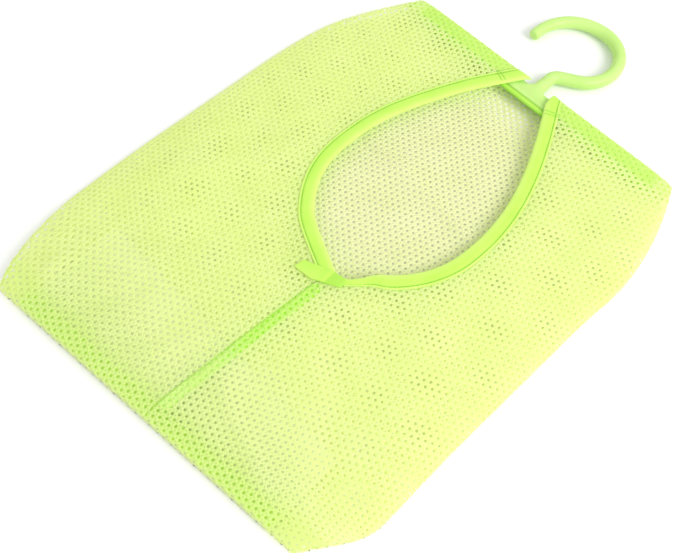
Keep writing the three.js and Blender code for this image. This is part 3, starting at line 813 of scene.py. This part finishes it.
def strip(name, columns, rows, place, pattern):
    """A tape as a grid of shares along and across, moved by place."""
    bm = bmesh.new()
    bmesh.ops.create_grid(bm, x_segments=columns, y_segments=rows, size=0.5)
    bmesh.ops.translate(bm, vec=(0.5, 0.5, 0), verts=bm.verts)
    return filled(name, bm, lambda p: place(p[:, 0], p[:, 1]), pattern)


def mouth_tape(binding):
    spots = np.linspace(0, 1, len(section))

    def place(along, across):
        out, height = (np.interp(across, spots, section[:, column]) for column in (0, 1))
        pucker = sum(high * np.sin(along * pace + phase) for high, pace, phase in PUCKERS)
        return binding.at(along, out, height + pucker * np.clip(height, 0, 1))

    def pattern(p):
        return np.stack([p[:, 0] * binding.run[-1], np.interp(p[:, 1], spots, section_run), p[:, 2]], -1)
    return strip("mouth_tape", TAPE_STEPS, len(section) - 1, place, pattern)


def thicken(piece, thickness):
    solid = piece.modifiers.new("thickness", "SOLIDIFY")
    solid.thickness, solid.offset, solid.use_even_offset = thickness * MM, 0, False
    smooth = piece.modifiers.new("smooth", "SUBSURF")
    smooth.levels = smooth.render_levels = 1
    return piece


# The tape's loose end: its two edges as (share along, x, depth), spread at the left, folded at the right
TAIL_UPPER = np.array([(0, -8.8, 221.2), (0.35, 1.5, 217.5), (0.66, 11.5, 213.5), (1, 20, 211.5)])
TAIL_LOWER = np.array([(0, -9.6, 229), (0.4, 4.2, 227.8), (0.68, 12, 224), (1, 22, 218.5)])
TAIL_LENGTH, TAIL_FOLD = 24.5, 0.6
TAIL_LIFT, TAIL_RISE, TAIL_CROWN = (0.9, 1.9), 0.4, 0.3  # from its tip to where it lies over the tapes
CREASE, CREASE_SHARP, CREASE_DROP = 0.45, 14, 0.35
# Places on the tape's map, from its stitched edge: plain tape, and the painted shade of the fold and the
# painted shadow along the strap's edges, fading toward its middle
PLAIN, PLAIN_WIDE, FOLD_SHADE, STRAP_SHADE, STRAP_FADE = 5, 3, 2.4, 2, 0.47
FOLD_EDGE, STRAP_EDGE = (TAIL_FOLD - 0.06, TAIL_FOLD + 0.08), (0.14, 0.3)
STRAP_LENGTH, STRAP_CROWN = 46, 0.25


def tail_place(along, across):
    def edge(line, column):
        return np.interp(along, line[:, 0], line[:, column])
    x = mix(edge(TAIL_UPPER, 1), edge(TAIL_LOWER, 1), across)
    depth = mix(edge(TAIL_UPPER, 2), edge(TAIL_LOWER, 2), across)
    curl = mix(*TAIL_LIFT, ease(along, 0, TAIL_RISE)) + TAIL_CROWN * np.sin(across * math.pi)
    ridge = CREASE * np.exp(-(((along - TAIL_FOLD) * CREASE_SHARP) ** 2))
    return raised(front, x, depth, curl + (ridge - CREASE_DROP * ease(along, TAIL_FOLD, 1)))


def tail_pattern(p):
    """The map of the loose end: plain tape that turns to the painted shade of the fold."""
    from_edge = mix(PLAIN + PLAIN_WIDE * p[:, 1], FOLD_SHADE, ease(p[:, 0], *FOLD_EDGE))
    return np.stack([p[:, 0] * TAIL_LENGTH, from_edge, p[:, 2]], -1)


def strap_pattern(p):
    """The map of the strap, dark along both of its stitched edges: painted shadow of the gaps above and
    below it.
    """
    inside = ease(np.minimum(p[:, 1], 1 - p[:, 1]), *STRAP_EDGE)
    return np.stack([p[:, 0] * STRAP_LENGTH, STRAP_SHADE + STRAP_FADE * inside, p[:, 2]], -1)


def strap_place(along, across):
    reach = float(mouth_edge(STRAP_TOP)) + STRAP_OVERLAP
    top = SLEEVE_HEIGHT - CLOTH - CLEAR - TAPE_THICK - CLEAR - TAPE_THICK / 2
    crown = STRAP_CROWN * np.sin(across * math.pi)
    return placed(mix(-reach, reach, along), STRAP_TOP + STRAP_WIDTH * across, top + crown)


binding_left, binding_right = Binding(-1), Binding(1)
tape_left, tape_right = (
    thicken(show(name, mouth_tape(binding), TAPE, "bag", "tape", node), BINDING_SKIN)
    for name, binding, node in (
        ("mouth_tape_left", binding_left, "mouth_binding_left"),
        ("mouth_tape_right", binding_right, "mouth_binding_right"),
    )
)
tail_mesh = strip("tape_tail", 30, 10, tail_place, tail_pattern)
tail = thicken(show("tape_tail", tail_mesh, TAPE, "bag", "tape", "binding_tail"), TAIL_SKIN)
strap_mesh = strip("hanger_strap", 24, 12, strap_place, strap_pattern)
thicken(show("hanger_strap_tape", strap_mesh, TAPE, "bag", "tape", "hanger_strap"), STRAP_SKIN)


# Sewing: a stitch's length and half thickness, the pitch of a row, its ends and its height over the cloth
MOUTH_STITCH, MOUTH_PITCH, MOUTH_ENDS, MOUTH_LIFT = (2.0, 0.24), 2.6, (6, 14), 1.2
CROSS_PITCH, CROSS_START, CROSS_INSET, CROSS_LIFT = 1.7, 0.8, 1.2, 1.9  # across the tape, over the strap
BASE_STITCH, BASE_PITCH, BASE_END, BASE_LIFT = (3.2, 0.28), 2.8, 4, 1.1
OVERCAST, BASE_SLANT = 3, 0.18  # width of the overcast edge, slant of its stitches
SEWN_STITCH, SEWN_PITCH, SEWN_ENDS, SEWN_LIFT = (2.3, 0.32), 2.5, (14, 8), 0.05
STEP, STEP_SHARE = 0.1, 0.001  # a short way ahead, in millimetres and as a share of the tape


def stitch_row(name, rows, long, thick):
    """Small threads laid along lines of places, each with the way ahead and the way up."""
    bm = bmesh.new()
    for place, ahead, up in (stitch for row in rows for stitch in zip(*row)):
        ahead = Vector(ahead).normalized()
        aside = Vector(up).cross(ahead).normalized()
        turn = Matrix((ahead, aside, ahead.cross(aside))).transposed().to_4x4()
        matrix = Matrix.Translation(Vector(place)) @ turn @ Matrix.Diagonal((long / 2, thick, thick, 1))
        bmesh.ops.create_uvsphere(bm, u_segments=6, v_segments=5, radius=1, matrix=matrix)
    bmesh.ops.scale(bm, vec=(MM, MM, MM), verts=bm.verts)
    mesh = bpy.data.meshes.new(name)
    bm.to_mesh(mesh)
    bm.free()
    return mesh


def along_line(line, spots, step=STEP):
    """Places, ways ahead and ways up on a line that takes a spot and a height."""
    place = line(spots, 0)
    return place, line(spots + step, 0) - place, line(spots, 1) - place


def mouth_stitches(binding):
    """The sewn edge of the tape, and two rows across it that hold the strap."""
    whole = binding.run[-1]
    first, last = MOUTH_ENDS

    def along(share, height):
        return binding.at(share, STITCH_LINE, MOUTH_LIFT + height)
    rows = [along_line(along, np.arange(first, whole - last, MOUTH_PITCH) / whole, STEP_SHARE)]
    for depth in (STRAP_TOP + CROSS_INSET, STRAP_TOP + STRAP_WIDTH - CROSS_INSET):
        share = float(np.interp(depth, binding.depth, binding.run)) / whole

        def across(out, height):
            return binding.at(np.full_like(out, share), out, CROSS_LIFT + height)
        rows.append(along_line(across, np.arange(CROSS_START, LEAF, CROSS_PITCH)))
    return stitch_row("mouth_stitches", rows, *MOUTH_STITCH)


def base_stitches():
    """The overcast edge of the front base seam: slanting threads to and fro."""
    def line(x, height):
        inward = np.full_like(x, SEAM_OFFSET + SEAM_ALLOWANCE - OVERCAST / 2)
        depth = LENGTH - inward
        return placed(x - drift(depth), depth, front_seam_level(inward) + BASE_LIFT + height)
    spots = np.arange(BASE_END - BASE_HALF, BASE_HALF - BASE_END, BASE_PITCH)
    rows = []
    for shift, slant in ((0, BASE_SLANT), (BASE_PITCH / 2, -BASE_SLANT)):
        place, ahead, up = along_line(line, spots + shift)
        rows.append((place, ahead + np.array([0, slant, 0]), up))
    return stitch_row("base_stitches", rows, *BASE_STITCH)


def seam_stitches():
    """The sewn line of the centre seam."""
    first, last = SEWN_ENDS

    def line(depth, height):
        return raised(front, seam_line(depth), depth, SEWN_LIFT + height)
    spots = np.arange(MOUTH_DEPTH + first, LENGTH - last, SEWN_PITCH)
    return stitch_row("seam_stitches", [along_line(line, spots)], *SEWN_STITCH)


stitches_left = show("mouth_stitches_left", mouth_stitches(binding_left), THREAD, "bag", "tape")
stitches_right = show("mouth_stitches_right", mouth_stitches(binding_right), THREAD, "bag", "tape")
stitches_base = show("base_seam_stitches", base_stitches(), BASE_THREAD, "bag", "tape")
stitches_seam = show("centre_seam_stitches", seam_stitches(), THREAD, "bag", "tape")


# Hanger and hook keep their solids' shape, with merged corners and smooth rounds
SHARP = math.radians(38)  # faces that meet at more than this keep their edge


def polished(node):
    bm = bmesh.new()
    bm.from_mesh(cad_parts[node].data)
    bmesh.ops.remove_doubles(bm, verts=bm.verts, dist=MERGE * MM)
    for edge in bm.edges:
        edge.smooth = len(edge.link_faces) == 2 and edge.calc_face_angle() < SHARP
    mesh = bpy.data.meshes.new(node)
    bm.to_mesh(mesh)
    bm.free()
    return mesh


show("hanger_bar", polished("hanger"), PLASTIC, "bag", "plastic", "hanger")
show("hook", polished("swivel_hook"), PLASTIC, "hook", "plastic", "swivel_hook")

# The yarn's share of the cloth; the flat areas of the back panel and of each front panel are worked out
# below and not kept
NET_SHARE = 0.79


def flat_area(low, high, down):
    return float(np.trapz(high - low, down)) * MM**2 * NET_SHARE


flat_area(-half_width(row_depths), half_width(row_depths), row_depths)
for panel, side, width, extra in (
    (front_left, -1, 0.178, [tape_left, stitches_left, tail, hem_left]),
    (front_right, 1, 0.144, [tape_right, stitches_right, hem_right, centre_seam, stitches_seam, front_seam]),
):
    flat_area(*panel_limits(side)(flat_down), flat_down)

# Floor, light and camera
LAMP_PLACE, CAMERA_PLACE, CAMERA_AIM = (1.05, 0.2, 0.95), (0.1915, -0.2230, 0.4647), (0.0187, -0.0613, 0)
SENSOR = 36
FOCAL_PIXELS, PHOTO_WIDTH = 806, 679  # focal length fitted to the photo, and the photo's width


def floor_finish():
    finish = Finish("pale_floor", Roughness=0.9)
    cloud = finish.noise(finish.place(), FLOOR_CLOUDS)
    white = finish.ramp(cloud, (0.3, grey(0.96)), (0.7, grey(0.98)))
    # Camera, glossy and transmission rays see the white; the light that the floor gives back is greyer
    camera_ray, glossy_ray, clear_ray = (
        finish.node("ShaderNodeLightPath", output=f"Is {ray} Ray")
        for ray in ("Camera", "Glossy", "Transmission"))
    return finish.feed(Base_Color=finish.blend(camera_ray + glossy_ray + clear_ray, grey(0.85), white))


def aimed(name, data, place, aim):
    """An object in the scene that looks from a place toward an aim."""
    made = bpy.data.objects.new(name, data)
    made.location = place
    made.rotation_euler = (Vector(aim) - Vector(place)).to_track_quat("-Z", "Y").to_euler()
    bpy.context.scene.collection.objects.link(made)
    return made


bm = bmesh.new()
bmesh.ops.create_grid(bm, x_segments=8, y_segments=8, size=6)
floor_mesh = bpy.data.meshes.new("floor")
bm.to_mesh(floor_mesh)
bm.free()
floor_mesh.materials.append(floor_finish())
floor = bpy.data.objects.new("floor", floor_mesh)
bpy.context.scene.collection.objects.link(floor)

world = bpy.data.worlds.new("studio")
bpy.context.scene.world = world
world.use_nodes = True
sky = next(n for n in world.node_tree.nodes if n.type == "BACKGROUND")
sky.inputs["Color"].default_value = WHITE
sky.inputs["Strength"].default_value = 0.86

key = bpy.data.lights.new("key", "AREA")
key.shape, key.size, key.energy = "DISK", 0.9, 12
aimed("key", key, LAMP_PLACE, (0, 0, 0))

lens = bpy.data.cameras.new("camera")
lens.sensor_fit, lens.sensor_width = "HORIZONTAL", SENSOR
lens.lens = SENSOR * FOCAL_PIXELS / PHOTO_WIDTH
lens.clip_start = 0.01
bpy.context.scene.camera = aimed("camera", lens, CAMERA_PLACE, CAMERA_AIM)
bpy.context.scene.view_settings.view_transform = "Standard"
# Light finds its way in and out of four layers of pale net only over many bounces
bpy.context.scene.cycles.max_bounces = 20
bpy.context.scene.cycles.diffuse_bounces = 14
